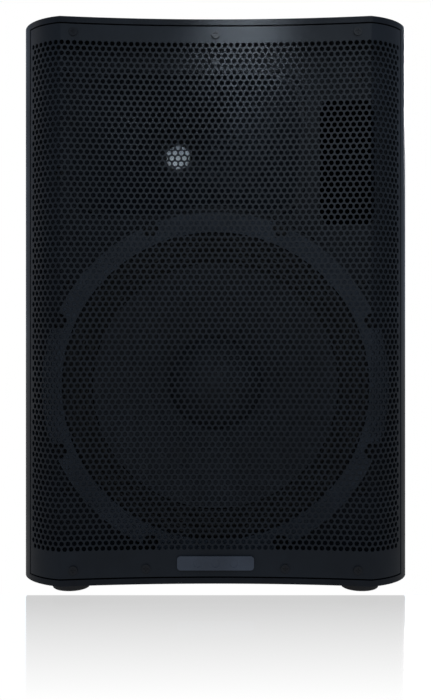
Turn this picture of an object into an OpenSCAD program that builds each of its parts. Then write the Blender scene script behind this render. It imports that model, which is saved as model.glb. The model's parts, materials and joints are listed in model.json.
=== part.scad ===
/* [Cabinet] */
// Widest point of the cabinet
body_w = 348; // [320:1:400]
// Height of the cabinet without its feet
body_h = 500; // [480:1:520]
// Front crease to rear wall
body_d = 326; // [310:1:350]
// Moulded wall thickness
wall = 5; // [4:0.5:7]
// Height of the rubber feet
foot_h = 10; // [6:1:14]
// Width of the lip that frames the grille
lip_w = 5.2; // [3:0.1:8]

/* [Grille] */
// Steel sheet thickness
sheet_t = 1.2; // [1:0.1:2]
// Gap between grille edge and lip
groove = 1.3; // [0.8:0.1:2]

/* [Woofer] */
// Height of the woofer axis above the floor
woofer_z = 184; // [180:1:190]
// Outer radius of the woofer frame
frame_r = 157; // [150:0.5:160]
// Depth of the baffle's front face behind the crease
baffle_y = 32; // [30:1:36]
// Voice coil former outer radius
former_r = 38; // [36:0.5:39]

/* [Horn] */
// Throat centre sideways
horn_x = -38; // [-45:1:-30]
// Throat centre height
horn_z = 409; // [400:1:410]
// Throat radius
throat_r = 12.7; // [12:0.1:14]

/* [Mounts] */
// Bore radius of the pole socket
pole_r = 17.9; // [17.6:0.05:18.2]
// Depth of the pole socket
pole_len = 80; // [60:1:84]
// Core radius of the threaded inserts
insert_r = 3.4; // [3.3:0.05:3.5]

/* [Hidden] */
$fn = 96;
yf = -body_d / 2;
z0 = foot_h;
z1 = foot_h + body_h;
// Radius of the corner that the grille wraps round
wrap_r = 53;
// Depth of the hollow in the front face
hollow = 9.2;
crease_x = body_w / 2 - 37.5;
// Depth of the hollow front face behind the crease
function skin(x) = hollow * (1 - pow(x / crease_x, 2));
// Right half of the plan: hollow front, crease, wrapped corner, tapered side
half_plan = concat(
  [for (i = [0:8]) [crease_x * i / 8, skin(crease_x * i / 8)]],
  [for (a = [20:5:75]) [crease_x + wrap_r * (sin(a) - sin(15)), wrap_r * (cos(15) - cos(a))]],
  [[body_w / 2, 45], [body_w / 2, 60], [body_w / 2 - 8, 120], [body_w / 2 - 31, 240],
   [body_w / 2 - 46, 306], [body_w / 2 - 49, 315], [body_w / 2 - 54, 322], [body_w / 2 - 62, body_d]]);
left_plan = [for (i = [len(half_plan) - 1:-1:1]) [-half_plan[i][0], half_plan[i][1]]];
plan_points = concat(half_plan, left_plan);
col_shell = [0.06, 0.07, 0.085];
col_dark = [0.04, 0.045, 0.055];
col_steel = [0.55, 0.56, 0.58];

// Plan outline drawn inwards by an inset
module plan(inset = 0) {
  translate([0, yf]) offset(delta = -inset) polygon(plan_points);
}
// Children keep their own z axis laid along +Y, starting at depth d
module along_y(x, z, d) {
  translate([x, yf + d, z]) rotate([-90, 0, 0]) children();
}
// Box given by its low and high corners, with depth measured from the crease
module slab(x0, x1, d0, d1, za, zb) {
  translate([x0, yf + d0, za]) cube([x1 - x0, d1 - d0, zb - za]);
}
module disc(x, z, d0, d1, r) {
  along_y(x, z, d0) cylinder(h = d1 - d0, r = r);
}
module ring(x, z, d0, d1, ro, ri) {
  along_y(x, z, d0) difference() {
    cylinder(h = d1 - d0, r = ro);
    translate([0, 0, -1]) cylinder(h = d1 - d0 + 2, r = ri);
  }
}
// Upright prism with rounded corners, seen from the front
module pill_box(x0, x1, d0, d1, za, zb, r) {
  slab(x0 + r, x1 - r, d0, d1, za, zb);
  slab(x0, x1, d0, d1, za + r, zb - r);
  for (x = [x0 + r, x1 - r]) {
    for (z = [za + r, zb - r]) {
      disc(x, z, d0, d1, r);
    }
  }
}
// Solid of revolution round the woofer axis, from radius and depth pairs
module turned(points, x = 0, z = woofer_z) {
  along_y(x, z, 0) rotate_extrude() polygon(points);
}
// Cross-recess screw with its head facing forwards (dir 1) or backwards (dir -1)
module screw(x, z, d, r, head, shank, len, dir = 1) {
  translate([x, yf + d, z]) rotate([-90 * dir, 0, 0]) difference() {
    union() {
      cylinder(h = head, r = r);
      cylinder(h = head + len, r = shank);
    }
    for (a = [0, 90]) {
      rotate([0, 0, a]) translate([-r * 0.55, -r * 0.12, -1]) cube([r * 1.1, r * 0.24, 1 + head * 0.6]);
    }
  }
}

baffle_screw_at = [[-134.5, 466.5], [129, 466], [-143, 378], [134, 277], [-134, 277], [134, 89], [-134, 89]];
grille_top_at = [[-124.8, z1 - 13.4], [0, z1 - 13.4], [124.8, z1 - 13.4]];
grille_low_at = [[-124.8, z0 + 14.1], [-61.5, z0 + 14.1], [61.5, z0 + 14.1], [124.8, z0 + 14.1]];
grille_screw_at = concat(grille_top_at, grille_low_at);
panel_screw_at = [[-95, 90], [-95, 165], [-95, 245], [-95, 325], [-95, 400], [95, 90], [95, 165],
  [95, 245], [95, 325], [95, 400]];
foot_at = [[-131.8, 36], [131.8, 36], [-95, 285], [95, 285]];
insert_d = 110;
pole_d = 165;
knob_at = [[-60, 318], [-15, 318], [30, 318]];
button_at = [[62, 322], [80, 322]];
led_at = [[-60, 292], [-15, 292], [30, 292], [71, 292]];

// The two curved sides, from the lip beside the grille to the rear wall
module side_walls() {
  color(col_shell) translate([0, 0, z0 + lip_w]) linear_extrude(height = body_h - 2 * lip_w) union() {
    difference() {
      plan();
      plan(wall);
      translate([-200, yf + body_d - wall]) square([400, 50]);
      translate([-167, yf - 5]) square([334, 27.4]);
    }
    // Ridges that close the groove behind the grille's side edges
    for (s = [-1, 1]) {
      translate([s * 162.2 - 0.75, yf + 19.6]) square([1.5, 3]);
    }
  }
}

module top_wall() {
  color(col_shell) difference() {
    union() {
      translate([0, 0, z1 - lip_w]) linear_extrude(height = lip_w) plan();
      translate([0, yf + insert_d, z1 - 22]) cylinder(h = 21, r = 11);
    }
    // Handle well
    slab(-64.3, 64.3, 145.7, 234.3, z1 - 8, z1 + 1);
    translate([0, yf + insert_d, z1 - 18]) cylinder(h = 20, r = 6.1);
  }
}

module bottom_wall() {
  color(col_shell) difference() {
    union() {
      translate([0, 0, z0]) linear_extrude(height = lip_w) plan();
      translate([0, yf + insert_d, z0 + 1]) cylinder(h = 21, r = 11);
    }
    translate([0, yf + pole_d, z0 - 1]) cylinder(h = 8, r = 22.3);
    translate([0, yf + insert_d, z0 - 1]) cylinder(h = 19, r = 6.1);
    for (f = foot_at) {
      translate([f[0], yf + f[1], z0 - 1]) cylinder(h = 8, r = 4.1);
    }
  }
}

module rear_wall() {
  color(col_shell) difference() {
    union() {
      intersection() {
        translate([0, 0, z0 + lip_w]) linear_extrude(height = body_h - 2 * lip_w) plan();
        slab(-200, 200, body_d - wall, body_d + 1, z0, z1);
      }
      disc(0, 450, 303, 322, 11);
    }
    slab(-100, 100, 300, 330, 80, 410);
    disc(0, 450, 308, 327, 6.1);
  }
}

// Frame behind the rear opening that carries the amplifier panel
module amp_tray() {
  color(col_shell) difference() {
    union() {
      slab(-106, 106, 293, 302.9, 74, 416);
      for (s = [-1, 1]) {
        slab(s > 0 ? 100 : -106, s > 0 ? 106 : -100, 303, 321, 80.1, 409.9);
        slab(-106, 106, 303, 321, s > 0 ? 410 : 74, s > 0 ? 416 : 80);
      }
    }
    slab(-90, 90, 290, 302.95, 95, 395);
    for (s = panel_screw_at) {
      disc(s[0], s[1], 295, 304, 1.6);
    }
  }
}

// Blocks bonded inside the walls, which take the baffle and grille screws
module fixing_blocks() {
  color(col_shell) difference() {
    intersection() {
      union() {
        for (s = baffle_screw_at) {
          slab(s[0] > 0 ? s[0] - 5.5 : -172, s[0] > 0 ? 172 : s[0] + 5.5, 44.3, 60, s[1] - 6, s[1] + 6);
        }
        for (s = grille_screw_at) {
          slab(s[0] - 5, s[0] + 5, skin(s[0]) + 1.9, 31, s[1] > 200 ? s[1] - 5 : z0 + lip_w,
            s[1] > 200 ? z1 - lip_w : s[1] + 5);
        }
      }
      linear_extrude(height = 600) plan(wall);
    }
    for (s = grille_screw_at) {
      disc(s[0], s[1], -3, 26, 2.1);
    }
    for (s = baffle_screw_at) {
      disc(s[0], s[1], 40, 58, 2.1);
    }
  }
}

module woofer_baffle() {
  color(col_dark) difference() {
    intersection() {
      union() {
        slab(-200, 200, baffle_y, 44, z0 + lip_w + 0.3, 312.7);
        disc(0, woofer_z, baffle_y, 44, 160.5);
      }
      linear_extrude(height = 600) plan(wall + 0.3);
    }
    disc(0, woofer_z, 20, 60, 143);
    for (s = baffle_screw_at) {
      disc(s[0], s[1], 28, 36, 5.2);
      disc(s[0], s[1], 28, 60, 2.2);
    }
    for (k = [0:7]) {
      disc(153 * cos(22.5 + 45 * k), woofer_z + 153 * sin(22.5 + 45 * k), 28, 60, 2.1);
    }
  }
}

// Solid flare of the horn, grown outwards: the first stage opens wider than the second
module horn_cut(grow) {
  hull() {
    pill_box(-132 - grow, 82 + grow, baffle_y - 1, baffle_y, 338 - grow, 470 + grow, 24, $fn = 32);
    pill_box(-84 - grow, 20 + grow, 70, 71, 370 - grow, 444 + grow, 24, $fn = 32);
  }
  hull() {
    pill_box(-84 - grow, 20 + grow, 70, 71, 370 - grow, 444 + grow, 24, $fn = 32);
    disc(horn_x, horn_z, 131, 132, throat_r + grow, $fn = 48);
  }
}

// Horn body behind the upper plate: four walls that meet at hairline joints, and the driver flange
module waveguide() {
  color(col_dark) difference() {
    union() {
      intersection() {
        horn_cut(3);
        slab(-200, 200, 44, 124.7, 300, 480);
      }
      disc(horn_x, horn_z, 125, 132, 40);
    }
    difference() {
      horn_cut(0);
      disc(0, woofer_z, 20, 140, 164);
    }
    disc(horn_x, horn_z, 120, 140, throat_r);
    disc(0, woofer_z, 20, 140, 161);
    for (a = [-36, 36]) {
      translate([horn_x, yf + 84, horn_z]) rotate([0, a, 0]) cube([300, 82, 0.3], center = true);
    }
  }
}

module upper_baffle() {
  color(col_dark) difference() {
    intersection() {
      slab(-200, 200, baffle_y, 44, 313, z1 - lip_w - 0.3);
      linear_extrude(height = 600) plan(wall + 0.3);
    }
    difference() {
      horn_cut(0);
      disc(0, woofer_z, 20, 140, 164);
    }
    disc(0, woofer_z, 20, 140, 161);
    pill_box(95, 145, 20, 60, 330, 444, 10);
    disc(0, 479, 20, 60, 2.6);
    for (s = baffle_screw_at) {
      disc(s[0], s[1], 28, 36, 5.2);
      disc(s[0], s[1], 28, 60, 2.2);
    }
  }
}

module port_tube() {
  color(col_dark) difference() {
    union() {
      pill_box(92, 148, 44, 168, 327, 447, 13);
      pill_box(90.5, 149.5, 44, 48, 322, 452, 14);
    }
    pill_box(95, 145, 40, 170, 330, 444, 10);
  }
}

module baffle_screws() {
  color(col_dark) for (s = baffle_screw_at) {
    screw(s[0], s[1], 32.5, 4.5, 3.5, 2, 16);
  }
  color(col_dark) for (k = [0:7]) {
    screw(153 * cos(22.5 + 45 * k), woofer_z + 153 * sin(22.5 + 45 * k), 25, 4.5, 3.5, 2, 16);
  }
}

module grille() {
  color(col_dark) difference() {
    intersection() {
      translate([0, 0, z0 + lip_w + groove]) linear_extrude(height = body_h - 2 * (lip_w + groove)) difference() {
        plan();
        plan(sheet_t);
      }
      slab(-166.7, 166.7, -5, 20.2, z0, z1);
    }
    for (s = grille_screw_at) {
      disc(s[0], s[1], -5, 20, 2.4);
    }
  }
}

module grille_screws() {
  color(col_dark) for (s = grille_screw_at) {
    screw(s[0], s[1], skin(s[0]) - 1.34, 3.75, 0.85, 2, 16);
  }
}

// Plain rounded plate: the marking of the real one is left off
module emblem() {
  color([0.29, 0.32, 0.37]) difference() {
    pill_box(-34, 34, 7, 8.5, z0 + 12.3, z0 + 24.8, 3);
    for (i = [-1:1]) {
      disc(i * 16, z0 + 18.55, 6, 7.4, 3.6);
    }
  }
}

module throat_screen() {
  color(col_steel) difference() {
    disc(horn_x, horn_z, 124.6, 125.2, throat_r - 0.1);
    for (i = [-2:2]) {
      for (j = [-2:2]) {
        if (norm([i + j / 2, j * 0.866]) < 2.4) {
          along_y(horn_x + 4.4 * (i + j / 2), horn_z + 3.81 * j, 124) cylinder(h = 2, r = 2, $fn = 6);
        }
      }
    }
  }
}

module woofer_frame() {
  color([0.09, 0.09, 0.1]) difference() {
    turned([[139, 28.5], [frame_r, 28.5], [frame_r, 32], [142, 32], [142, 44], [92, 86], [92, 92],
      [80, 92], [80, 96], [41, 96], [41, 93], [76, 93], [76, 90], [88, 90], [88, 84], [137, 42]]);
    for (k = [0:7]) {
      along_y(0, woofer_z, 46) rotate([0, 0, 22.5 + 45 * k]) translate([97, -22, 0]) cube([36, 44, 36]);
    }
    for (k = [0:7]) {
      disc(153 * cos(22.5 + 45 * k), woofer_z + 153 * sin(22.5 + 45 * k), 20, 60, 2.3);
    }
  }
}

module woofer_gasket() {
  color([0.35, 0.36, 0.38]) difference() {
    ring(0, woofer_z, 24.5, 28.5, frame_r, 139);
    for (k = [0:7]) {
      disc(153 * cos(22.5 + 45 * k), woofer_z + 153 * sin(22.5 + 45 * k), 20, 60, 7);
    }
  }
}

module surround() {
  color([0.03, 0.03, 0.035]) turned(concat(
    [for (i = [0:40]) [138.8 - 27 * i / 40, 25.2 + 1.9 * cos(i * 27)]],
    [for (i = [40:-1:0]) [138.8 - 27 * i / 40, 26.2 + 1.9 * cos(i * 27)]]));
}

module cone() {
  color([0.07, 0.075, 0.085]) turned([[110.3, 27.4], [111.4, 28.8], [80, 47.2], [60, 58.2], [44, 65.6],
    [38.4, 67.6], [38.4, 65.8], [44, 64], [60, 56.6], [80, 45.6]]);
}

module dust_cap() {
  color([0.05, 0.05, 0.06]) difference() {
    intersection() {
      along_y(0, woofer_z, 93.4) sphere(r = 52);
      slab(-60, 60, 30, 63.8, woofer_z - 60, woofer_z + 60);
    }
    along_y(0, woofer_z, 93.4) sphere(r = 51);
  }
}

module coil_former() {
  color([0.72, 0.66, 0.5]) ring(0, woofer_z, 65, 110, former_r, former_r - 0.6);
}

module voice_coil() {
  color([0.72, 0.42, 0.2]) ring(0, woofer_z, 92, 108, former_r + 1.2, former_r + 0.02);
}

module spider() {
  color([0.5, 0.38, 0.2]) turned(concat(
    [for (i = [0:48]) [38.1 + 49.7 * i / 48, 85 + 1.6 * sin(i * 45)]],
    [for (i = [48:-1:0]) [38.1 + 49.7 * i / 48, 86 + 1.6 * sin(i * 45)]]));
}

module woofer_top_plate() {
  color(col_steel) ring(0, woofer_z, 96, 104, 76, former_r + 2);
}

module woofer_magnet() {
  color([0.12, 0.12, 0.13]) ring(0, woofer_z, 104, 126, 80, 48);
}

module woofer_yoke() {
  color(col_steel) turned([[12, 96], [36, 96], [36, 126], [76, 126], [76, 134], [12, 134]]);
}

module woofer_terminals() {
  color([0.6, 0.5, 0.25]) {
    slab(-14, 14, 87, 91, woofer_z - 104, woofer_z - 92.3);
    for (x = [-9, 9]) {
      slab(x - 2.4, x + 2.4, 91, 98, woofer_z - 100, woofer_z - 99.2);
    }
  }
}

module driver_housing() {
  color([0.1, 0.1, 0.11]) turned([[throat_r, 132], [40, 132], [40, 138], [46, 138], [46, 150],
    [30, 150], [30, 146], [throat_r, 146]], horn_x, horn_z);
}

module driver_diaphragm() {
  color([0.75, 0.76, 0.78]) union() {
    difference() {
      intersection() {
        along_y(horn_x, horn_z, 130) sphere(r = 28);
        slab(horn_x - 30, horn_x + 30, 148.2, 162, horn_z - 30, horn_z + 30);
      }
      along_y(horn_x, horn_z, 130) sphere(r = 27.6);
    }
    ring(horn_x, horn_z, 148.2, 152, 21.6, 20.4);
  }
}

module driver_magnet() {
  color([0.12, 0.12, 0.13]) ring(horn_x, horn_z, 150, 168, 44, 31);
}

module driver_cover() {
  color([0.06, 0.06, 0.07]) difference() {
    turned([[0, 168], [44, 168], [46, 170], [46, 174], [42, 178], [0, 178]], horn_x, horn_z);
    for (k = [0:3]) {
      disc(horn_x + 35 * cos(45 + 90 * k), horn_z + 35 * sin(45 + 90 * k), 171, 180, 2.2);
    }
  }
}

module driver_screws() {
  color(col_steel) for (k = [0:3]) {
    screw(horn_x + 35 * cos(45 + 90 * k), horn_z + 35 * sin(45 + 90 * k), 182, 4, 4, 2, 6, -1);
  }
}

// Front light pipe and the four small ones on the amplifier panel
module indicator_lenses() {
  color([0.7, 0.75, 0.85]) {
    disc(0, 479, 31, 46, 2.5);
    disc(0, 479, 44, 46, 4);
    for (s = led_at) {
      disc(s[0], s[1], 283, 305.6, 1.5);
      along_y(s[0], s[1], 305.6) intersection() {
        sphere(r = 1.5, $fn = 32);
        translate([-2, -2, 0]) cube([4, 4, 4]);
      }
    }
  }
}

module led_board() {
  color([0.05, 0.25, 0.12]) slab(-10, 10, 46, 47.6, 473, 493);
}

module amp_panel() {
  color([0.05, 0.055, 0.06]) difference() {
    slab(-99.6, 99.6, 303, 306, 80.4, 409.6);
    for (s = panel_screw_at) {
      disc(s[0], s[1], 300, 310, 2.3);
    }
    for (x = [-60, -15, 32]) {
      disc(x, 365, 300, 310, 12.1);
    }
    for (x = [-60, -15]) {
      slab(x - 4, x + 4, 300, 310, 376, 380.3);
    }
    disc(72, 372, 300, 310, 4.2);
    for (s = knob_at) {
      disc(s[0], s[1], 300, 310, 4.1);
    }
    for (s = button_at) {
      disc(s[0], s[1], 300, 310, 4.1);
    }
    for (s = led_at) {
      disc(s[0], s[1], 300, 310, 1.6);
    }
    slab(31.7, 58.3, 300, 310, 99.7, 130.3);
    slab(-64.2, -35.8, 300, 310, 104.3, 125.7);
    for (x = [-70, 70]) {
      for (z = [155, 270]) {
        disc(x, z, 300, 310, 1.8);
      }
    }
  }
}

module panel_screws() {
  color(col_dark) for (s = panel_screw_at) {
    screw(s[0], s[1], 308.2, 4, 2.2, 1.5, 10, -1);
  }
}

// Extruded fins on a base plate, running up the cabinet
module heatsink() {
  color([0.09, 0.095, 0.1]) union() {
    slab(-82, 82, 306, 309, 148, 278);
    for (i = [0:12]) {
      slab(-80 + i * 13.1, -77.4 + i * 13.1, 308.9, 323, 148, 278);
    }
  }
}

module input_board() {
  color([0.04, 0.22, 0.12]) slab(-86, 86, 281.4, 283, 284, 393);
}

module amp_board() {
  color([0.04, 0.22, 0.12]) union() {
    slab(-86, 86, 272.4, 274, 98, 280);
    // Power devices that press against the panel behind the heatsink
    for (x = [-60, -36, -12, 12, 36, 60]) {
      slab(x - 8, x + 8, 273.9, 303, 160, 165);
    }
  }
}

module board_standoffs() {
  color([0.7, 0.6, 0.3]) {
    for (x = [-80, 80]) {
      for (z = [290, 388]) {
        disc(x, z, 283, 303, 3);
      }
      for (z = [104, 274]) {
        disc(x, z, 274, 303, 3);
      }
    }
  }
}

// Mains transformer and reservoir capacitors of the power supply
module supply_parts() {
  color([0.5, 0.35, 0.15]) {
    slab(-70, -22, 232, 272.4, 110, 160);
    slab(-64, -28, 226, 238, 116, 154);
  }
  color([0.06, 0.1, 0.2]) for (x = [8, 44]) {
    disc(x, 135, 232, 272.4, 15);
  }
}

// Plug socket: shell groove for a round connector shell round a central jack bore
module combo(x, z) {
  difference() {
    union() {
      disc(x, z, 283, 306, 11.9);
      slab(x - 13, x + 13, 306, 308, z - 15.5, z + 16.5);
    }
    difference() {
      disc(x, z, 292, 310, 9.7);
      disc(x, z, 291, 306, 7.6);
    }
    disc(x, z, 286, 312, 3.25);
    for (a = [90, 210, 330]) {
      disc(x + 5.2 * cos(a), z + 5.2 * sin(a), 292, 312, 1.3);
    }
    slab(x - 3.4, x + 3.4, 304, 310, z + 11.6, z + 15);
    for (a = [-1, 1]) {
      disc(x + 10.2 * a, z - 12.6 * a, 300, 312, 1.4);
    }
  }
}

module combo_jacks() {
  color(col_dark) {
    combo(-60, 365);
    combo(-15, 365);
  }
}

module latch(x) {
  slab(x - 3, x + 3, 304.2, 309.6, 377.2, 379.6);
}

module latch_a() {
  color(col_steel) latch(-60);
}

module latch_b() {
  color(col_steel) latch(-15);
}

module output_socket() {
  color(col_dark) union() {
    difference() {
      union() {
        disc(32, 365, 283, 306, 11.9);
        slab(19, 45, 306, 308, 349.5, 381.5);
      }
      disc(32, 365, 290, 310, 9.7);
    }
    for (a = [30, 150, 270]) {
      disc(32 + 5.2 * cos(a), 365 + 5.2 * sin(a), 289, 304, 1.15);
    }
  }
}

module aux_jack() {
  color(col_dark) difference() {
    union() {
      slab(66, 78, 283, 300, 366, 378);
      disc(72, 372, 300, 306, 4);
      disc(72, 372, 306, 308.4, 6);
    }
    disc(72, 372, 292, 312, 1.82);
  }
}

// Potentiometers behind the knobs and switches behind the buttons
module control_bodies() {
  color(col_steel) for (s = knob_at) {
    difference() {
      union() {
        slab(s[0] - 7, s[0] + 7, 283, 299, s[1] - 8, s[1] + 7);
        disc(s[0], s[1], 299, 306.5, 3.9);
      }
      disc(s[0], s[1], 287, 310, 3);
    }
  }
  color([0.7, 0.7, 0.68]) for (s = button_at) {
    slab(s[0] - 5, s[0] + 5, 283, 296, s[1] - 5, s[1] + 5);
  }
}

// Knurled cap with a pointer slot, on a shaft that turns in its potentiometer
module knob(x, z) {
  difference() {
    union() {
      disc(x, z, 307.2, 320.5, 7.6);
      disc(x, z, 307.2, 309.2, 8.6);
      for (k = [0:17]) {
        disc(x + 7.6 * cos(20 * k), z + 7.6 * sin(20 * k), 309, 319.5, 0.6);
      }
      disc(x, z, 288, 308, 2.95);
    }
    slab(x - 0.6, x + 0.6, 319.3, 322, z + 1, z + 9);
  }
}

module gain_knob_a() {
  color(col_dark) knob(knob_at[0][0], knob_at[0][1]);
}

module gain_knob_b() {
  color(col_dark) knob(knob_at[1][0], knob_at[1][1]);
}

module aux_knob() {
  color(col_dark) knob(knob_at[2][0], knob_at[2][1]);
}

module contour_button() {
  color([0.6, 0.62, 0.65]) disc(button_at[0][0], button_at[0][1], 299.5, 311, 3.5);
}

module link_button() {
  color([0.6, 0.62, 0.65]) disc(button_at[1][0], button_at[1][1], 299.5, 311, 3.5);
}

module power_frame() {
  color(col_dark) difference() {
    union() {
      slab(32, 58, 288, 306, 100, 130);
      slab(29, 61, 306, 308, 97, 133);
    }
    translate([37, yf + 302, 115]) rotate([0, 90, 0]) cylinder(h = 16, r = 11);
  }
}

// Rocker that rests with its lower half in: it turns about an axle along X
module power_rocker() {
  color([0.03, 0.03, 0.03]) translate([45, yf + 302, 115]) rotate([10, 0, 0]) difference() {
    translate([-7.6, 0, 0]) rotate([0, 90, 0]) cylinder(h = 15.2, r = 10.6);
    for (m = [-1, 1]) {
      rotate([16 * m, 0, 0]) translate([-10, 8.2, -20]) cube([20, 10, 40]);
    }
    translate([-10, -20, -20]) cube([20, 16, 40]);
  }
}

module mains_inlet() {
  color(col_steel) {
    slab(-58.5, -56.5, 290, 304, 110, 114);
    slab(-43.5, -41.5, 290, 304, 110, 114);
    slab(-51, -49, 290, 305, 116.5, 120.5);
  }
  color(col_dark) difference() {
    union() {
      slab(-64, -36, 286, 306, 104.5, 125.5);
      slab(-75, -25, 306, 308, 103, 127);
    }
    slab(-62.3, -37.7, 290, 310, 106.5, 123.5);
    for (x = [-70, -30]) {
      disc(x, 115, 304, 312, 1.8);
    }
  }
}

module handle_cup() {
  color(col_dark) translate([0, yf, 0]) difference() {
    translate([-64, 146, z1 - 52]) cube([128, 88, 52]);
    translate([-60.5, 149.5, z1 - 48.5]) cube([121, 81, 60]);
  }
}

module handle_grip() {
  color([0.03, 0.03, 0.03]) translate([0, yf + 194, z1 - 13]) rotate([0, 90, 0]) union() {
    translate([0, 0, -60.5]) cylinder(h = 121, r = 11);
    translate([-1, 0, -46]) cylinder(h = 92, r = 11.8);
  }
}

module pole_cup() {
  color(col_dark) translate([0, yf + pole_d, z0]) difference() {
    union() {
      cylinder(h = pole_len + 4, r = 22);
      translate([0, 0, lip_w]) cylinder(h = 3, r = 36);
    }
    translate([0, 0, -1]) cylinder(h = pole_len + 1, r = pole_r);
  }
}

module inserts() {
  color([0.75, 0.6, 0.3]) {
    translate([0, yf + insert_d, z1 - 17.5]) difference() {
      cylinder(h = 17, r = 6);
      translate([0, 0, 1]) cylinder(h = 20, r = insert_r);
    }
    translate([0, yf + insert_d, z0 + 0.5]) difference() {
      cylinder(h = 17, r = 6);
      translate([0, 0, -1]) cylinder(h = 17, r = insert_r);
    }
    along_y(0, 450, 308.5) difference() {
      cylinder(h = 17, r = 6);
      translate([0, 0, 1]) cylinder(h = 20, r = insert_r);
    }
  }
}

module feet() {
  color([0.02, 0.02, 0.02]) for (f = foot_at) {
    translate([f[0], yf + f[1], 0]) union() {
      cylinder(h = 1, r1 = 16, r2 = 17);
      translate([0, 0, 1]) cylinder(h = foot_h - 1, r = 17);
      cylinder(h = foot_h + 5, r = 4);
    }
  }
}

side_walls();
top_wall();
bottom_wall();
rear_wall();
fixing_blocks();
amp_tray();
woofer_baffle();
upper_baffle();
waveguide();
port_tube();
baffle_screws();
grille();
grille_screws();
emblem();
throat_screen();
woofer_frame();
woofer_gasket();
surround();
cone();
dust_cap();
coil_former();
voice_coil();
spider();
woofer_top_plate();
woofer_magnet();
woofer_yoke();
woofer_terminals();
driver_housing();
driver_diaphragm();
driver_magnet();
driver_cover();
driver_screws();
indicator_lenses();
led_board();
amp_panel();
panel_screws();
heatsink();
input_board();
amp_board();
board_standoffs();
supply_parts();
combo_jacks();
latch_a();
latch_b();
output_socket();
aux_jack();
control_bodies();
gain_knob_a();
gain_knob_b();
aux_knob();
contour_button();
link_button();
power_frame();
power_rocker();
mains_inlet();
handle_cup();
handle_grip();
pole_cup();
inserts();
feet();
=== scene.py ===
import json
import math

import bmesh
import bpy
import numpy as np
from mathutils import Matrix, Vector


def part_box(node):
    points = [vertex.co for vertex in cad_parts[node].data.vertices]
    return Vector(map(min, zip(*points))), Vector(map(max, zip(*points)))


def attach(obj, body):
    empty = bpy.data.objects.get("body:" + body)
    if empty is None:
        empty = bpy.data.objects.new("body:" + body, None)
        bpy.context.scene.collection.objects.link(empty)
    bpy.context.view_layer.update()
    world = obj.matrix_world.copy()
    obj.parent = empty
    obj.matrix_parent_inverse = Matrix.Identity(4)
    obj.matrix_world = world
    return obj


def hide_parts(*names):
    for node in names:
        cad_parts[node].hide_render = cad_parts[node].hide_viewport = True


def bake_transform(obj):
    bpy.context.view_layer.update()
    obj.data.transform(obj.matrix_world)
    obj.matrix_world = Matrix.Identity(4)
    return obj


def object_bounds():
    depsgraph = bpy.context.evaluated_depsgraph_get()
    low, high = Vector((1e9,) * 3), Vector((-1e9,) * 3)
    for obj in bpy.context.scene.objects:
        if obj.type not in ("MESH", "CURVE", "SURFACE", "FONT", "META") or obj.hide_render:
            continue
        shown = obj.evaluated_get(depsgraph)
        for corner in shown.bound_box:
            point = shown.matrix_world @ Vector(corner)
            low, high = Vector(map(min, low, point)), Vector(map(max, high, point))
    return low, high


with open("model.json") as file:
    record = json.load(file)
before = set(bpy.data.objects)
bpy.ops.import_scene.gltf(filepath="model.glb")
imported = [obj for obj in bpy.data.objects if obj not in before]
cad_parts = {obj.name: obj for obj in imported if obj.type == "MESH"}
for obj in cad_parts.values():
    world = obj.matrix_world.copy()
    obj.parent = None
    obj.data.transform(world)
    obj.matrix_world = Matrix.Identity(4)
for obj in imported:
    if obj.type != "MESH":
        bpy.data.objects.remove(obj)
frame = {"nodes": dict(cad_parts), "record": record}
cad_lo, cad_hi = [list(map(float, c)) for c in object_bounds()]
nodes = frame["nodes"]
MM = 0.001
YF = cad_lo[1]  # the crease plane, the most forward part of the cabinet
HX, HZ = -0.038, 0.409  # throat axis
WZ = 0.184  # woofer axis
SEAT_R = 0.161  # clearance round the woofer


# ---------------------------------------------------------------- materials
NOISE_LOW, NOISE_HIGH = 0.3, 0.7  # the part of a noise's range that the variations use


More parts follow.
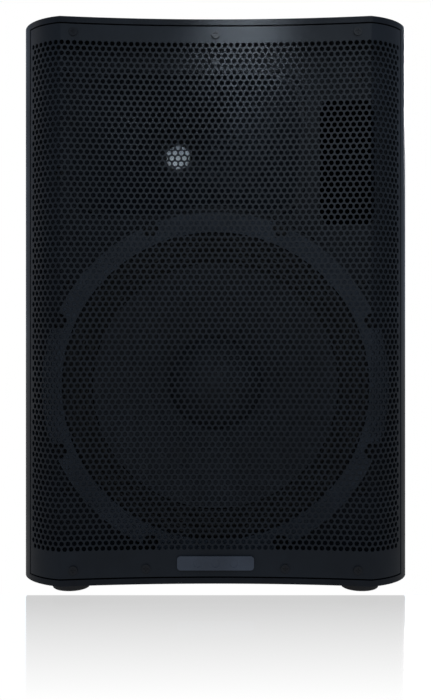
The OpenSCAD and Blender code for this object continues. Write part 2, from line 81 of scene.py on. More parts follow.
class Mat:
    """A node material with small helpers."""

    def __init__(self, name, color, rough, metal=0.0, spec=0.5):
        self.m = bpy.data.materials.new(name)
        self.m.use_nodes = True
        self.t = self.m.node_tree
        self.b = self.t.nodes["Principled BSDF"]
        self.b.inputs["Base Color"].default_value = (*color, 1)
        self.b.inputs["Roughness"].default_value = rough
        self.b.inputs["Metallic"].default_value = metal
        self.b.inputs["Specular IOR Level"].default_value = spec
        self.color = color

    def node(self, kind, **inputs):
        n = self.t.nodes.new(kind)
        for k, v in inputs.items():
            n.inputs[k.replace("_", " ")].default_value = v
        return n

    def link(self, a, b):
        self.t.links.new(a, b)

    def coords(self, scale=(1, 1, 1)):
        c = self.t.nodes.new("ShaderNodeTexCoord")
        m = self.t.nodes.new("ShaderNodeMapping")
        m.inputs["Scale"].default_value = scale
        self.link(c.outputs["Object"], m.inputs["Vector"])
        return m.outputs["Vector"]

    def noise(self, scale, detail=3.0, stretch=(1, 1, 1), rough=0.55):
        n = self.node("ShaderNodeTexNoise", Scale=scale, Detail=detail, Roughness=rough)
        self.link(self.coords(stretch), n.inputs["Vector"])
        return n.outputs["Fac"]

    def vary_color(self, fac, low, high):
        """Mixes the base colour between low and high times its value."""
        r = self.t.nodes.new("ShaderNodeValToRGB")
        r.color_ramp.elements[0].position = NOISE_LOW
        r.color_ramp.elements[1].position = NOISE_HIGH
        r.color_ramp.elements[0].color = (*[c * low for c in self.color], 1)
        r.color_ramp.elements[1].color = (*[min(1, c * high) for c in self.color], 1)
        self.link(fac, r.inputs["Fac"])
        self.link(r.outputs["Color"], self.b.inputs["Base Color"])

    def vary_rough(self, fac, low, high):
        r = self.t.nodes.new("ShaderNodeMapRange")
        r.inputs["From Min"].default_value = NOISE_LOW
        r.inputs["From Max"].default_value = NOISE_HIGH
        r.inputs["To Min"].default_value = low
        r.inputs["To Max"].default_value = high
        self.link(fac, r.inputs["Value"])
        self.link(r.outputs["Result"], self.b.inputs["Roughness"])

    def bump(self, height, strength, distance, after=None):
        n = self.node("ShaderNodeBump", Strength=strength, Distance=distance)
        self.link(height, n.inputs["Height"])
        if after:
            self.link(after, n.inputs["Normal"])
        self.link(n.outputs["Normal"], self.b.inputs["Normal"])
        return n.outputs["Normal"]


def moulded(name, color, rough, grain=900.0, depth=0.00012, spec=0.5):
    """Moulded plastic: fine leather-like grain, faint blotches of sheen."""
    m = Mat(name, color, rough, 0, spec)
    v = m.node("ShaderNodeTexVoronoi", Scale=grain)
    v.feature = "SMOOTH_F1"
    m.link(m.coords(), v.inputs["Vector"])
    m.vary_color(m.noise(60, 5), 0.8, 1.25)
    m.vary_rough(m.noise(9, 4), rough - 0.06, rough + 0.07)
    first = m.bump(m.noise(grain * 0.55, 2), 0.25, depth)
    m.bump(v.outputs["Distance"], 0.35, depth, first)
    return m.m


def coated(name, color, rough, metal=0.0, grain=1800.0, strength=0.25, spec=0.5):
    """Powder coat or paint on metal."""
    m = Mat(name, color, rough, metal, spec)
    m.vary_color(m.noise(35, 4), 0.85, 1.2)
    m.vary_rough(m.noise(14, 4), rough - 0.05, rough + 0.06)
    m.bump(m.noise(grain, 2), strength, 0.00006)
    return m.m


def brushed(name, color, rough, axis=2):
    """Bare metal with drawn lines along an axis."""
    m = Mat(name, color, rough, 1.0)
    stretch = [60, 60, 60]
    stretch[axis] = 2
    lines = m.noise(25, 3, tuple(stretch))
    m.vary_color(lines, 0.8, 1.15)
    m.vary_rough(lines, rough - 0.08, rough + 0.1)
    m.bump(lines, 0.15, 0.00003)
    return m.m


def woven(name, color, rough, pitch=0.0009):
    """Doped cloth, with threads both ways."""
    m = Mat(name, color, rough)
    waves = []
    for axis in ("X", "Z"):
        w = m.node("ShaderNodeTexWave", Scale=0.16 / pitch, Distortion=0.6)
        w.bands_direction = axis
        w.inputs["Detail Scale"].default_value = 2
        m.link(m.coords(), w.inputs["Vector"])
        waves.append(w.outputs["Fac"])
    threads = m.t.nodes.new("ShaderNodeMath")
    threads.operation = "MAXIMUM"
    m.link(waves[0], threads.inputs[0])
    m.link(waves[1], threads.inputs[1])
    m.vary_color(threads.outputs[0], 0.6, 1.3)
    m.vary_rough(m.noise(40, 4), rough - 0.08, rough + 0.08)
    m.bump(threads.outputs[0], 0.3, 0.00012)
    return m.m


def fibrous(name, color, rough):
    """Pressed paper pulp: short fibres and slow mottling."""
    m = Mat(name, color, rough)
    f = m.noise(420, 6, rough=0.75)
    m.vary_color(m.noise(70, 6), 0.75, 1.35)
    m.vary_rough(m.noise(90, 4), rough - 0.08, rough + 0.1)
    m.bump(f, 0.45, 0.0002)
    return m.m


def board(name):
    """Solder mask with copper tracks and pads below it."""
    m = Mat(name, (0.012, 0.09, 0.04), 0.35)
    b = m.node("ShaderNodeTexBrick", Scale=90.0)
    b.inputs["Color1"].default_value = (0.01, 0.075, 0.032, 1)
    b.inputs["Color2"].default_value = (0.014, 0.11, 0.05, 1)
    b.inputs["Mortar"].default_value = (0.02, 0.16, 0.07, 1)
    b.inputs["Mortar Size"].default_value = 0.03
    m.link(m.coords((1, 0, 1)), b.inputs["Vector"])
    m.link(b.outputs["Color"], m.b.inputs["Base Color"])
    m.bump(b.outputs["Fac"], 0.2, 0.00005)
    m.vary_rough(m.noise(50, 3), 0.28, 0.42)
    return m.m


def lens(name, color):
    """Smoked cover of an unlit indicator."""
    m = Mat(name, color, 0.12)
    m.vary_color(m.noise(800, 2), 0.85, 1.15)
    m.vary_rough(m.noise(500, 2), 0.08, 0.18)
    return m.m


# One finish for each material slot: colour, roughness, then what its maker takes.
M = {
    "shell": moulded("shell_plastic", (0.0058, 0.0074, 0.0102), 0.45, 950, 0.0001, 0.14),
    "moulding": moulded("moulding_plastic", (0.0085, 0.0105, 0.014), 0.5, 1300, 0.00006, 0.12),
    "grille": coated("grille_coat", (0.0078, 0.0102, 0.0137), 0.5, spec=0.16),
    "black_screws": coated("black_oxide", (0.006, 0.007, 0.009), 0.42, 0.0, 2600, 0.15, 0.2),
    "emblem": coated("emblem_satin", (0.038, 0.047, 0.064), 0.36, 0.5, 2200, 0.12),
    "screen": coated("satin_mesh", (0.8, 0.86, 0.95), 0.42, 0.7, 2400, 0.1),
    "frame_metal": coated("frame_paint", (0.0045, 0.005, 0.006), 0.5, 0.0, 1200, spec=0.15),
    "gasket": moulded("gasket_foam", (0.038, 0.046, 0.058), 0.75, 1500, 0.0001, 0.2),
    "cloth": woven("doped_cloth", (0.003, 0.0035, 0.0045), 0.75),
    "cone": fibrous("cone_pulp", (0.009, 0.0115, 0.016), 0.72),
    "former": coated("former_film", (0.5, 0.4, 0.2), 0.3),
    "copper": brushed("copper_wire", (0.72, 0.32, 0.12), 0.3, 0),
    "zinc": brushed("zinc_plate", (0.55, 0.56, 0.58), 0.34),
    "ferrite": fibrous("ferrite", (0.022, 0.022, 0.024), 0.55),
    "terminal": brushed("plated_brass", (0.72, 0.56, 0.26), 0.28),
    "cover": moulded("cover_plastic", (0.018, 0.018, 0.02), 0.45),
    "lens": lens("smoked_lens", (0.03, 0.036, 0.045)),
    "board": board("solder_mask"),
    "panel": coated("panel_coat", (0.012, 0.013, 0.016), 0.42, 0.2, 1500, 0.3),
    "fins": brushed("black_anodised", (0.03, 0.032, 0.036), 0.4),
    "cans": coated("can_sleeve", (0.012, 0.02, 0.06), 0.3),
    "plastic": moulded("fitting_plastic", (0.01, 0.0105, 0.012), 0.38, 1600, 0.00005),
    "button": moulded("button_plastic", (0.28, 0.29, 0.31), 0.4, 1600, 0.00004),
    "rubber": moulded("rubber", (0.011, 0.011, 0.012), 0.72, 1100, 0.00012),
    "print": coated("print_ink", (0.42, 0.43, 0.45), 0.5),
}
slot_of = {s["node"]: s["material_slot"] for s in frame["record"]["subparts"]}
for name, ob in nodes.items():
    mat = M[slot_of[name]]
    if ob.material_slots:
        for s in ob.material_slots:
            s.link = "OBJECT"
            s.material = mat
    else:
        ob.data.materials.append(mat)


# ---------------------------------------------------------------- meshes
def new_mesh(name, verts, faces, mat, body="cabinet", smooth=True):
    me = bpy.data.meshes.new(name)
    me.from_pydata(
        [tuple(map(float, v)) for v in verts], [], [tuple(map(int, f)) for f in faces]
    )
    me.validate()
    me.update()
    if smooth:
        me.shade_smooth()
    me.materials.append(M[mat])
    ob = bpy.data.objects.new(name, me)
    bpy.context.collection.objects.link(ob)
    if body:
        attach(ob, body)
    return ob


def scratch(name, me):
    ob = bpy.data.objects.new(name, me)
    bpy.context.collection.objects.link(ob)
    return ob


def solid(name, verts, faces):
    """Closed mesh object with its faces turned outwards."""
    me = bpy.data.meshes.new(name)
    me.from_pydata(verts, [], faces)
    bm = bmesh.new()
    bm.from_mesh(me)
    bmesh.ops.recalc_face_normals(bm, faces=bm.faces)
    bm.to_mesh(me)
    bm.free()
    return scratch(name, me)


def drum(name, x, z, r, d0, d1, steps=160):
    """Plain cylinder along Y between two depths, used as a tool or a flange."""
    verts = [
        (x + r * math.cos(a), YF + d, z + r * math.sin(a))
        for d in (d0, d1)
        for a in [2 * math.pi * i / steps for i in range(steps)]
    ]
    faces = [(i, (i + 1) % steps, steps + (i + 1) % steps, steps + i) for i in range(steps)]
    faces += [tuple(range(steps - 1, -1, -1)), tuple(range(steps, 2 * steps))]
    return solid(name, verts, faces)


def turned(name, profile, cx, cz, mat, body="cabinet", steps=128):
    """Solid of revolution along Y, from a closed outline of radii and depths in millimetres."""
    n = len(profile)
    verts = [
        (cx + r * MM * math.cos(a), YF + d * MM, cz + r * MM * math.sin(a))
        for a in [2 * math.pi * i / steps for i in range(steps)]
        for r, d in profile
    ]
    faces = []
    for i in range(steps):
        j = (i + 1) % steps
        for k in range(n):
            l = (k + 1) % n
            faces.append((i * n + k, j * n + k, j * n + l, i * n + l))
    return new_mesh(name, verts, faces, mat, body)


def grid_faces(rows, cols, closed=False):
    """Quads over points laid out row after row. In a closed grid each row's ends meet."""
    faces = []
    for i in range(rows - 1):
        for j in range(cols if closed else cols - 1):
            k = (j + 1) % cols
            faces.append((i * cols + j, i * cols + k, (i + 1) * cols + k, (i + 1) * cols + j))
    return faces


def boolean(base, other, how):
    """Applies a boolean of two mesh objects to the first and removes the second."""
    mod = base.modifiers.new("cut", "BOOLEAN")
    mod.operation = how
    mod.object = other
    mod.solver = "EXACT"
    bpy.context.view_layer.update()
    dg = bpy.context.evaluated_depsgraph_get()
    done = bpy.data.meshes.new_from_object(base.evaluated_get(dg))
    base.modifiers.clear()
    base.data = done
    bpy.data.objects.remove(other)


# ---------------------------------------------------------------- perforated sheet
# A hole's cell has twelve points, anticlockwise, in quarters of the pitch and halves of the row.
CELL = [
    (2, 0), (2, 1), (1, 1), (0, 1), (-1, 1), (-2, 1),
    (-2, 0), (-2, -1), (-1, -1), (0, -1), (1, -1), (2, -1),
]
SIDES = [(i, (i + 1) % len(CELL)) for i in range(len(CELL))]


def row_height(pitch):
    """Distance between the rows of holes that are staggered at 60 degrees."""
    return pitch * math.sqrt(3) / 2


def hole_ring(x, z, pitch, radius):
    """Outline of the cell round a hole, and the hole's own outline."""
    cell = [(u * pitch / 4, v * row_height(pitch) / 2) for u, v in CELL]
    outer = [(x + u, z + v) for u, v in cell]
    angles = [math.atan2(v, u) for u, v in cell]
    inner = [(x + radius * math.cos(a), z + radius * math.sin(a)) for a in angles]
    return outer, inner


# ---------------------------------------------------------------- grille
CREASE = 0.1365  # half width of the hollow middle
HOLLOW = 0.0092  # how far the middle lies behind the creases
WRAP_R = 0.053  # radius of the wrapped sides
WRAP_FROM, WRAP_TO = math.radians(15), math.radians(54.2)
SHEET = 0.0012
PITCH = 0.005522
HOLE_R = 0.00213
RIM = 0.0012  # least width of plain sheet beside a row's last hole
ROW = row_height(PITCH)
BANDS = (0, 24, 47, 70, 94)  # first row of each piece of the grille, and the number of rows
ROWS_FROM = cad_lo[2] + 0.04246 - ROW / 2  # lower edge of the first row's cells
PLAIN_STEPS = (252, 3)  # quads across and up in the plain bands above and below the holes
TINY = 1e-7


def front_curve():
    """The grille's plan from its centre to its right edge: arc lengths, points and normals."""
    pts = [(x, HOLLOW * (1 - (x / CREASE) ** 2)) for x in np.linspace(0, CREASE, 60)]
    for a in np.linspace(WRAP_FROM, WRAP_TO, 40)[1:]:
        pts.append((
            CREASE + WRAP_R * (math.sin(a) - math.sin(WRAP_FROM)),
            WRAP_R * (math.cos(WRAP_FROM) - math.cos(a)),
        ))
    pts = np.array(pts)
    seg = np.linalg.norm(np.diff(pts, axis=0), axis=1)
    s = np.concatenate([[0], np.cumsum(seg)])
    t = np.gradient(pts, s, axis=0)
    t /= np.linalg.norm(t, axis=1)[:, None]
    return s, pts, np.stack([t[:, 1], -t[:, 0]], axis=1)


CS, CP, CN = front_curve()
EDGE = float(CS[-1])


def on_front(s, z, depth):
    """The point at arc length s and height z, depth behind the grille's face."""
    a = np.abs(s)
    x = np.interp(a, CS, CP[:, 0])
    y = np.interp(a, CS, CP[:, 1])
    nx = np.interp(a, CS, CN[:, 0])
    ny = np.interp(a, CS, CN[:, 1])
    sign = np.where(np.asarray(s) < 0, -1.0, 1.0)
    return np.stack([sign * (x - nx * depth), YF + y - ny * depth, z + 0 * a], axis=-1)


class FlatSheet:
    """Part of the grille rolled out flat, in arc lengths and heights, with shared points."""

    def __init__(self):
        self.index, self.points = {}, []
        self.quads, self.holes = [], []

    def point(self, s, z):
        key = (round(s * 1e7), round(z * 1e7))
        if key not in self.index:
            self.index[key] = len(self.points)
            self.points.append((s, z))
        return self.index[key]

    def patch(self, s0, s1, z0, z1, across=1, up=1):
        """Plain rectangle of the sheet in across times up quads."""
        for i in range(across):
            for j in range(up):
                a, c = s0 + (s1 - s0) * i / across, s0 + (s1 - s0) * (i + 1) / across
                d, e = z0 + (z1 - z0) * j / up, z0 + (z1 - z0) * (j + 1) / up
                corners = ((a, d), (c, d), (c, e), (a, e))
                self.quads.append(tuple(self.point(*p) for p in corners))

    def cell(self, s, z):
        """One hole with its share of the sheet."""
        outer, inner = [[self.point(*p) for p in ring] for ring in hole_ring(s, z, PITCH, HOLE_R)]
        for i, j in SIDES:
            self.quads.append((outer[i], outer[j], inner[j], inner[i]))
        self.holes.append(inner)

    def row(self, r):
        """Row r of the holes, with the plain rim at both of its ends."""
        z = ROWS_FROM + ROW * (r + 0.5)
        reach = int(EDGE / PITCH) + 1
        places = [(i + 0.5 * (r % 2)) * PITCH for i in range(-reach, reach + 1)]
        places = [s for s in places if abs(s) < EDGE - HOLE_R - RIM]
        for s in places:
            self.cell(s, z)
        end = places[-1] + PITCH / 2
        for s0, s1 in ((-EDGE, -end), (end, EDGE)):
            self.patch(s0, s1, z - ROW / 2, z)
            self.patch(s0, s1, z, z + ROW / 2)

    def wrapped(self, name, z_low, z_high):
        """The solid sheet, bent to the grille's plan, with the walls of its holes and edges."""
        flat = np.array(self.points)
        n = len(flat)
        front = on_front(flat[:, 0], flat[:, 1], 0.0)
        back = on_front(flat[:, 0], flat[:, 1], SHEET)
        faces = self.quads + [tuple(i + n for i in reversed(f)) for f in self.quads]
        for loop in self.holes:
            faces += [(loop[i], loop[j], loop[j] + n, loop[i] + n) for i, j in SIDES]
        offsets = [np.abs(flat[:, 0]) - EDGE, flat[:, 1] - z_low, flat[:, 1] - z_high]
        borders = [set(np.flatnonzero(np.abs(d) < TINY).tolist()) for d in offsets]
        for f in self.quads:
            for a, c in zip(f, f[1:] + f[:1]):
                if any(a in b and c in b for b in borders):
                    faces.append((c, a, a + n, c + n))
        return new_mesh(name, np.concatenate([front, back]), faces, "grille", smooth=False)


def make_grille():
    """Perforated sheet in four pieces, with a plain band below and above the holes."""
    lo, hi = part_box("grille")
    made = []
    for first, last in zip(BANDS, BANDS[1:]):
        flat = FlatSheet()
        for r in range(first, last):
            flat.row(r)
        if first == BANDS[0]:
            flat.patch(-EDGE, EDGE, lo[2], ROWS_FROM, *PLAIN_STEPS)
        if last == BANDS[-1]:
            flat.patch(-EDGE, EDGE, ROWS_FROM + ROW * last, hi[2], *PLAIN_STEPS)
        made.append(flat.wrapped("grille_sheet_%d" % (len(made) + 1), lo[2], hi[2]))
    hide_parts("grille")


make_grille()


# ---------------------------------------------------------------- rounded copies of CAD pieces
SHELL_ROUND = 0.0012  # edge radius of the large mouldings


def welded(name):
    """A copy of a CAD node's mesh with its vertices merged."""
    bm = bmesh.new()
    bm.from_mesh(nodes[name].data)
    bmesh.ops.remove_doubles(bm, verts=bm.verts, dist=2e-6)
    me = bpy.data.meshes.new(name + "_copy")
    bm.to_mesh(me)
    bm.free()
    return scratch(name + "_copy", me)


def round_edges(ob, width, mat, segments=3, angle=35):
    """Clears coplanar edges, rounds the sharp ones and sets the finish."""
    bm = bmesh.new()
    bm.from_mesh(ob.data)
    bmesh.ops.remove_doubles(bm, verts=bm.verts, dist=2e-5)
    bmesh.ops.dissolve_limit(
        bm,
        angle_limit=math.radians(0.4),
        use_dissolve_boundaries=False,
        verts=bm.verts,
        edges=bm.edges,
    )
    for f in bm.faces:
        f.smooth = True
        f.material_index = 0
    bm.to_mesh(ob.data)
    bm.free()
    ob.data.materials.clear()
    ob.data.materials.append(M[mat])
    b = ob.modifiers.new("round", "BEVEL")
    b.width = width
    b.segments = segments
    b.limit_method = "ANGLE"
    b.angle_limit = math.radians(angle)
    b.use_clamp_overlap = True
    b.miter_outer = "MITER_ARC"
    # Keeps the large flat faces flat in the shading
    w = ob.modifiers.new("normals", "WEIGHTED_NORMAL")
    w.mode = "FACE_AREA"
    w.weight = 100


def softened(name, width, segments=3, body="cabinet"):
    """A copy of a CAD node with its edges rounded, which takes the node's place."""
    ob = welded(name)
    ob.name = name + "_soft"
    round_edges(ob, width, slot_of[name], segments)
    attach(ob, body)
    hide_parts(name)


def make_cabinet():
    """The cabinet's four walls are one moulding."""
    walls = ["side_walls", "top_wall", "bottom_wall", "rear_wall"]
    whole = welded(walls[0])
    for w in walls[1:]:
        boolean(whole, welded(w), "UNION")
    whole.name = "cabinet_moulding"
    round_edges(whole, SHELL_ROUND, "shell")
    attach(whole, "cabinet")
    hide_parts(*walls)


# Edge radii of the pieces that stay still
STILL = {
    "amp_panel": 0.0004, "heatsink": 0.0005, "handle_cup": 0.0012, "handle_grip": 0.002,
    "feet": 0.0008, "pole_cup": 0.001, "power_frame": 0.0008, "combo_jacks": 0.0005,
    "output_socket": 0.0005, "aux_jack": 0.0005, "emblem": 0.0004, "port_tube": 0.0012,
    "woofer_baffle": 0.0008,
}
# Edge radii of the pieces that move, and the bodies they ride on
MOVING = {
    "gain_knob_a": (0.0003, "knob_a"), "gain_knob_b": (0.0003, "knob_b"),
    "aux_knob": (0.0003, "knob_aux"), "contour_button": (0.0005, "button_contour"),
    "link_button": (0.0005, "button_link"), "power_rocker": (0.0005, "rocker"),
    "latch_a": (0.0004, "tab_a"), "latch_b": (0.0004, "tab_b"),
}


# ---------------------------------------------------------------- horn
MOUTH_X, MOUTH_Z = -0.025, 0.404  # middle of the horn's mouth
MOUTH_D, THROAT_D = 0.0312, 0.1247  # depths of the flare's ends
THROAT_R = 0.0127
WIDEN_X, WIDEN_Z = 0.0943, 0.0533  # how much the mouth's half width and height exceed THROAT_R
CURVE_X, CURVE_Z = 1.66, 1.49  # how sharply each opens towards the mouth
DRIFT = 1.4  # the same for the middle's way from the throat to the mouth
HORN_WALL = 0.003
FACE_D = 0.0325  # the flare's outside is trimmed away in front of this depth
FLANGE_R, FLANGE_D = 0.040, (0.118, 0.132)  # where the driver is fastened
CUT_D = (0.02, 0.14)  # depths that reach through the whole moulding
SCREEN_D = 0.1243  # depth of the screen across the throat


def flare(name, grow):
    """Closed solid of the horn's flare, from a rounded oblong mouth to the round throat."""
    n, rings = 128, 40
    verts = []
    for k in range(rings + 1):
        t = k / rings
        d = MOUTH_D + (THROAT_D - MOUTH_D) * t
        hx = THROAT_R + WIDEN_X * (1 - t) ** CURVE_X + grow
        hz = THROAT_R + WIDEN_Z * (1 - t) ** CURVE_Z + grow
        cx = HX + (MOUTH_X - HX) * (1 - t) ** DRIFT
        cz = HZ + (MOUTH_Z - HZ) * (1 - t) ** DRIFT
        power = 2 + 3 * (1 - t) ** 0.9  # 2 is an ellipse, and more is squarer
        for i in range(n):
            a = 2 * math.pi * i / n
            c, s = math.cos(a), math.sin(a)
            r = (abs(c) ** power + abs(s) ** power) ** (-1 / power)
            verts.append((cx + hx * r * c, YF + d, cz + hz * r * s))
    faces = grid_faces(rings + 1, n, closed=True)
    faces.append(tuple(range(n - 1, -1, -1)))
    faces.append(tuple(rings * n + i for i in range(n)))
    return solid(name, verts, faces)


def make_horn():
    """Face plate and horn as one moulding with one smooth flare."""
    hollow = flare("horn_hollow", 0.0)
    boolean(hollow, drum("seat_guard", 0, WZ, SEAT_R + 0.003, *CUT_D), "DIFFERENCE")
    whole = flare("horn_body", HORN_WALL)
    boolean(whole, drum("driver_flange", HX, HZ, FLANGE_R, *FLANGE_D), "UNION")
    boolean(whole, drum("trim", 0, 0.3, 0.6, 0.0, FACE_D), "DIFFERENCE")
    boolean(whole, welded("upper_baffle"), "UNION")
    boolean(whole, hollow, "DIFFERENCE")
    boolean(whole, drum("seat_cut", 0, WZ, SEAT_R, *CUT_D), "DIFFERENCE")
    # Slightly wider than the throat and just in front of its screen, so that no faces coincide
    throat = drum("throat_cut", HX, HZ, THROAT_R + 0.0002, SCREEN_D - 0.0005, CUT_D[1], 96)
    boolean(whole, throat, "DIFFERENCE")
    whole.name = "horn_moulding"
    round_edges(whole, SHELL_ROUND, "moulding", angle=30)
    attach(whole, "cabinet")
    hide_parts("waveguide", "upper_baffle")


def make_throat_screen():
    """Fine perforated disc that keeps dirt out of the driver."""
    pitch, hole, sheet, edge, rim = 0.0018, 0.00068, 0.0003, 0.0126, 0.0008
    y = YF + SCREEN_D
    row = row_height(pitch)
    count = int(edge / row) + 1
    n = len(CELL)
    verts, faces = [], []
    for r in range(-count, count + 1):
        for c in range(-count, count + 1):
            x, z = (c + 0.5 * (r % 2)) * pitch, r * row
            if math.hypot(x, z) > edge - rim:
                continue
            outer, inner = hole_ring(HX + x, HZ + z, pitch, hole)
            b = len(verts)
            verts += [(px, y, pz) for px, pz in outer + inner]
            faces += [(b + i, b + j, b + n + j, b + n + i) for i, j in SIDES]
    ob = new_mesh("throat_mesh", verts, faces, "screen", smooth=False)
    bm = bmesh.new()
    bm.from_mesh(ob.data)
    bmesh.ops.remove_doubles(bm, verts=bm.verts, dist=1e-5)
    bm.to_mesh(ob.data)
    bm.free()
    thick = ob.modifiers.new("sheet", "SOLIDIFY")
    thick.thickness = sheet
    thick.offset = 0
    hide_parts("throat_screen")


make_cabinet()
make_horn()
for piece, width in STILL.items():
    softened(piece, width)
for piece, (width, body) in MOVING.items():
    softened(piece, width, 2, body)
make_throat_screen()


# ---------------------------------------------------------------- woofer, in millimetres
def bending_ring(node, r_out, r_in, depth, across):
    """Pleated cloth ring in sectors. Each one reaches from the fixed frame to the moving cone.

    depth gives the ring's depth at 0, its outer edge, to 1, its inner edge.
    """
    sectors, along = 24, 9
    for k in range(sectors):
        verts = []
        for i in range(across):
            t = i / (across - 1)
            r = r_out + (r_in - r_out) * t
            for j in range(along):
                a = 2 * math.pi * (k + j / (along - 1)) / sectors
                x, z = r * MM * math.cos(a), WZ + r * MM * math.sin(a)
                verts.append((x, YF + depth(t) * MM, z))
        name = "%s_%02d" % (node, k + 1)
        faces = grid_faces(across, along)
        ob = new_mesh(name, verts, faces, "cloth", body=None)
        y = YF + depth(0) * MM
        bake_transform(ob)
    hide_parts(node)


def rolls(middle, height, count, wave):
    """Depth across a ring with a number of rolls, as bending_ring takes it."""
    return lambda t: middle + height * wave(math.radians(360 * count * t))


def make_surround():
    """Three rolls of cloth round the cone."""
    bending_ring("surround", 138.6, 111.7, rolls(25.3, 1.75, 3, math.cos), 61)


def make_spider():
    """Six finer rolls that centre the voice coil."""
    bending_ring("spider", 87.8, 38.1, rolls(85.5, 1.6, 6, math.sin), 97)


def make_cone():
    """Curved pulp cone with two shallow stiffening rings."""
    inner_r, span, steps = 43.0, 68.0, 120
    deepest, fall, curve = 64.4, 36.4, 0.86  # depth at the middle, and its way to the rim
    paper, rib = 1.3, 0.35  # thickness, and height of a stiffening ring
    rings = ((0.28, 0.018), (0.56, 0.016))  # place and width, as parts of the span
    front, back = [], []
    for i in range(steps + 1):
        t = i / steps
        r = inner_r + span * t
        d = deepest - fall * (t ** curve)
        rise = sum(rib * math.exp(-(((t - at) / width) ** 2)) for at, width in rings)
        front.append((r, d - rise))
        back.append((r, d + paper))
    turned("cone_pulp", front + back[::-1], 0.0, WZ, "cone", "cone_assembly", 160)
    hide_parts("cone")


make_surround()
make_spider()
make_cone()


# ---------------------------------------------------------------- printed marks
PRINT_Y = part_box("amp_panel")[1][1] + 0.00012  # just clear of the panel's face
DIALS_X, DIALS_Z, DIALS_R = (-0.060, -0.015, 0.030), 0.318, 0.0098
# Left, right, lower and upper edge of each line
LINES = [
    (-0.084, 0.088, 0.2835, 0.2838),
    (-0.084, 0.088, 0.1385, 0.1388),
    (0.0525, 0.0528, 0.305, 0.385),
    (0.057, 0.067, 0.3305, 0.3308),
    (0.075, 0.085, 0.3305, 0.3308),
]


def flat_marks(name, outlines):
    """Printed shapes on the rear panel, from outlines of four points that face backwards."""
    verts = [(x, PRINT_Y, z) for outline in outlines for x, z in outline]
    faces = [(b, b + 3, b + 2, b + 1) for b in range(0, len(verts), 4)]
    new_mesh(name, verts, faces, "print", smooth=False)


def tick(cx, cz, angle, length):
    """Outline of one radial tick of a dial."""
    u = (math.cos(angle), math.sin(angle))
    w = (-u[1] * 0.00025, u[0] * 0.00025)  # half its width
    ends = ((DIALS_R, -1), (DIALS_R, 1), (DIALS_R + length, 1), (DIALS_R + length, -1))
    return [(cx + u[0] * r + w[0] * s, cz + u[1] * r + w[1] * s) for r, s in ends]


def make_marks():
    """Dials without figures round the three knobs, and lines between the panel's areas."""
    for n, x in enumerate(DIALS_X, 1):
        ticks = [
            tick(x, DIALS_Z, math.radians(-50 + 28 * k), 0.0022 if k % 5 == 0 else 0.0014)
            for k in range(11)
        ]
        flat_marks("dial_marks_%d" % n, ticks)
    bars = [((x0, z0), (x1, z0), (x1, z1), (x0, z1)) for x0, x1, z0, z1 in LINES]
    flat_marks("panel_lines", bars)


make_marks()


# ---------------------------------------------------------------- shader helpers
def ramp(tree, value, stops):
    """Piecewise-linear curve through (position, level) stops, from map ranges added together."""
    total = None
    for (p0, v0), (p1, v1) in zip(stops, stops[1:]):
        n = tree.nodes.new("ShaderNodeMapRange")
        n.inputs["From Min"].default_value = p0
        n.inputs["From Max"].default_value = p1
        n.inputs["To Min"].default_value = v0 if total is None else 0
        n.inputs["To Max"].default_value = v1 if total is None else v1 - v0
        tree.links.new(value, n.inputs["Value"])
        out = n.outputs["Result"]
        if total is not None:
            add = tree.nodes.new("ShaderNodeMath")
            tree.links.new(total, add.inputs[0])
            tree.links.new(out, add.inputs[1])
            out = add.outputs["Value"]
        total = out
    return total


def scaled(tree, value, times, plus=0.0):
    n = tree.nodes.new("ShaderNodeMath")
    n.operation = "MULTIPLY_ADD"
    tree.links.new(value, n.inputs[0])
    n.inputs[1].default_value = times
    n.inputs[2].default_value = plus
    return n.outputs["Value"]


def product(tree, a, b):
    n = tree.nodes.new("ShaderNodeMath")
    n.operation = "MULTIPLY"
    tree.links.new(a, n.inputs[0])
    tree.links.new(b, n.inputs[1])
    return n.outputs["Value"]


def axes(tree, space):
    """The X, Y and Z of one of the texture coordinates."""
    at = tree.nodes.new("ShaderNodeTexCoord")
    split = tree.nodes.new("ShaderNodeSeparateXYZ")
    tree.links.new(at.outputs[space], split.inputs["Vector"])
    return split.outputs


def by_ray(tree, kind):
    """Mix of what light meets, first, and what the camera sees, second, with its result."""
    path = tree.nodes.new("ShaderNodeLightPath")
    mix = tree.nodes.new("ShaderNodeMix")
    mix.data_type = kind
    tree.links.new(path.outputs["Is Camera Ray"], mix.inputs["Factor"])
    first, result = {"FLOAT": (2, 0), "RGBA": (6, 2)}[kind]
    return mix.inputs[first], mix.inputs[first + 1], mix.outputs[result]


# ---------------------------------------------------------------- floor and studio
FILL, COVE = 0.45, 1.7  # radiance of the studio in front and behind
FLOOR = [(-6, -6, 0), (6, -6, 0), (6, 9, 0), (-6, 9, 0)]
MIRROR_Y = [(YF - 0.215, 0), (YF - 0.01, 1), (YF + 0.008, 1), (YF + 0.0095, 0)]
MIRROR_X = [(-0.24, 0), (-0.19, 1), (0.19, 1), (0.24, 0)]
MIRRORED = 0.27  # reflectance of the floor where it mirrors most
DIMMED = 0.37  # how much less of its own white the floor shows there
COVE_Y = [(0.15, 0), (0.7, 1)]
COVE_X = [(-0.45, 0), (-0.28, 1), (0.28, 1), (0.45, 0)]


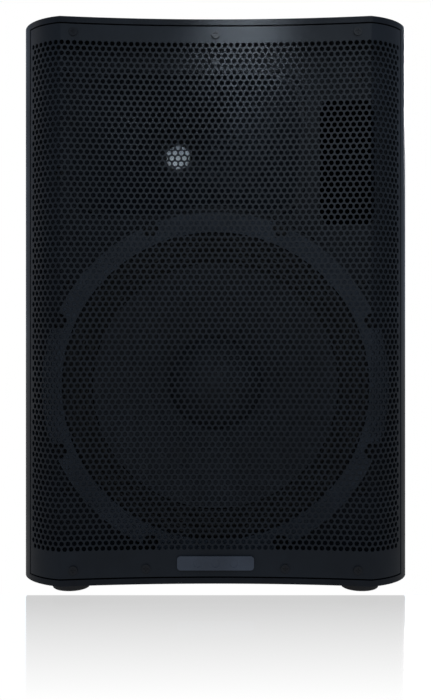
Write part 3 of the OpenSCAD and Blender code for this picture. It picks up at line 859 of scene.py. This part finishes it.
def floor_material():
    """White to look at, with a mirror patch close in front of the cabinet that fades out."""
    mat = bpy.data.materials.new("floor_white")
    mat.use_nodes = True
    t = mat.node_tree
    t.nodes.clear()
    place = axes(t, "Object")
    gloss = product(t, ramp(t, place["Y"], MIRROR_Y), ramp(t, place["X"], MIRROR_X))
    own = t.nodes.new("ShaderNodeEmission")
    lit, shown, level = by_ray(t, "FLOAT")
    lit.default_value = FILL
    t.links.new(scaled(t, gloss, -DIMMED, 1.0), shown)
    t.links.new(level, own.inputs["Strength"])
    mirror = t.nodes.new("ShaderNodeBsdfGlossy")
    mirror.inputs["Roughness"].default_value = 0.06
    tint = t.nodes.new("ShaderNodeCombineColor")
    reflectance = scaled(t, gloss, MIRRORED)
    for c in tint.inputs:
        t.links.new(reflectance, c)
    t.links.new(tint.outputs["Color"], mirror.inputs["Color"])
    both = t.nodes.new("ShaderNodeAddShader")
    t.links.new(own.outputs["Emission"], both.inputs[0])
    t.links.new(mirror.outputs["BSDF"], both.inputs[1])
    out = t.nodes.new("ShaderNodeOutputMaterial")
    t.links.new(both.outputs["Shader"], out.inputs["Surface"])
    return mat


def floor():
    me = bpy.data.meshes.new("floor")
    me.from_pydata(FLOOR, [], [(0, 1, 2, 3)])
    me.materials.append(floor_material())
    ob = bpy.data.objects.new("floor", me)
    bpy.context.collection.objects.link(ob)


def studio():
    """White to look at. What it throws on the object is a soft fill, and a bright cove behind."""
    world = bpy.data.worlds.new("studio")
    world.use_nodes = True
    t = world.node_tree
    glow = t.nodes["Background"]
    way = axes(t, "Generated")
    behind = product(t, ramp(t, way["Y"], COVE_Y), ramp(t, way["X"], COVE_X))
    lit, shown, level = by_ray(t, "FLOAT")
    t.links.new(scaled(t, behind, COVE - FILL, FILL), lit)
    shown.default_value = 1.0
    t.links.new(level, glow.inputs["Strength"])
    lit, shown, color = by_ray(t, "RGBA")
    lit.default_value = (0.8, 0.95, 1.2, 1)
    shown.default_value = (1, 1, 1, 1)
    t.links.new(color, glow.inputs["Color"])
    bpy.context.scene.world = world


# ---------------------------------------------------------------- lamps and camera
COOL, WARM, WHITE = (0.84, 0.93, 1), (1, 0.9, 0.8), (1, 1, 1)


def lamp(name, at, to, size, power, color, spread=None):
    """Rectangular area light that the camera doesn't see. Its spread is in degrees."""
    d = bpy.data.lights.new(name, "AREA")
    d.shape = "RECTANGLE"
    d.size, d.size_y = size
    d.energy = power
    d.color = color
    if spread:
        d.spread = math.radians(spread)
    ob = bpy.data.objects.new(name, d)
    ob.location = at
    ob.rotation_euler = (Vector(to) - Vector(at)).to_track_quat("-Z", "Y").to_euler()
    ob.visible_camera = False
    bpy.context.collection.objects.link(ob)


def lamps():
    top, upper = (0.026, YF, 0.49), (0.07, YF, 0.36)
    throat = (HX, YF + 0.124, HZ)
    lamp("top_kicker", (0.026, YF - 0.12, 0.595), top, (0.05, 0.05), 0.038, COOL, 34)
    lamp("upper_glow", (0.09, YF - 0.42, 0.50), upper, (0.2, 0.3), 0.7, COOL)
    lamp("throat_light", (-0.084, YF - 0.8, 0.585), throat, (0.06, 0.06), 0.0018, COOL, 9)
    lamp("rear_softbox", (0.9, 2.2, 1.3), (0, 0.16, 0.27), (1.0, 0.8), 90, WHITE)
    lamp("left_strip", (-1.2, 0.05, 0.42), (-0.17, -0.13, 0.3), (0.25, 1.1), 1.2, WARM)


def camera():
    cam = bpy.data.cameras.new("camera")
    cam.sensor_fit = "VERTICAL"
    cam.sensor_height = 36
    cam.lens = 46.4
    cam.shift_x, cam.shift_y = 0.0014, -0.037
    ob = bpy.data.objects.new("camera", cam)
    ob.location = (0.0, YF - 0.790, 0.240)
    ob.rotation_euler = (math.radians(90), 0, 0)
    bpy.context.collection.objects.link(ob)
    bpy.context.scene.camera = ob


bpy.context.scene.view_settings.view_transform = "Standard"
floor()
studio()
camera()
lamps()
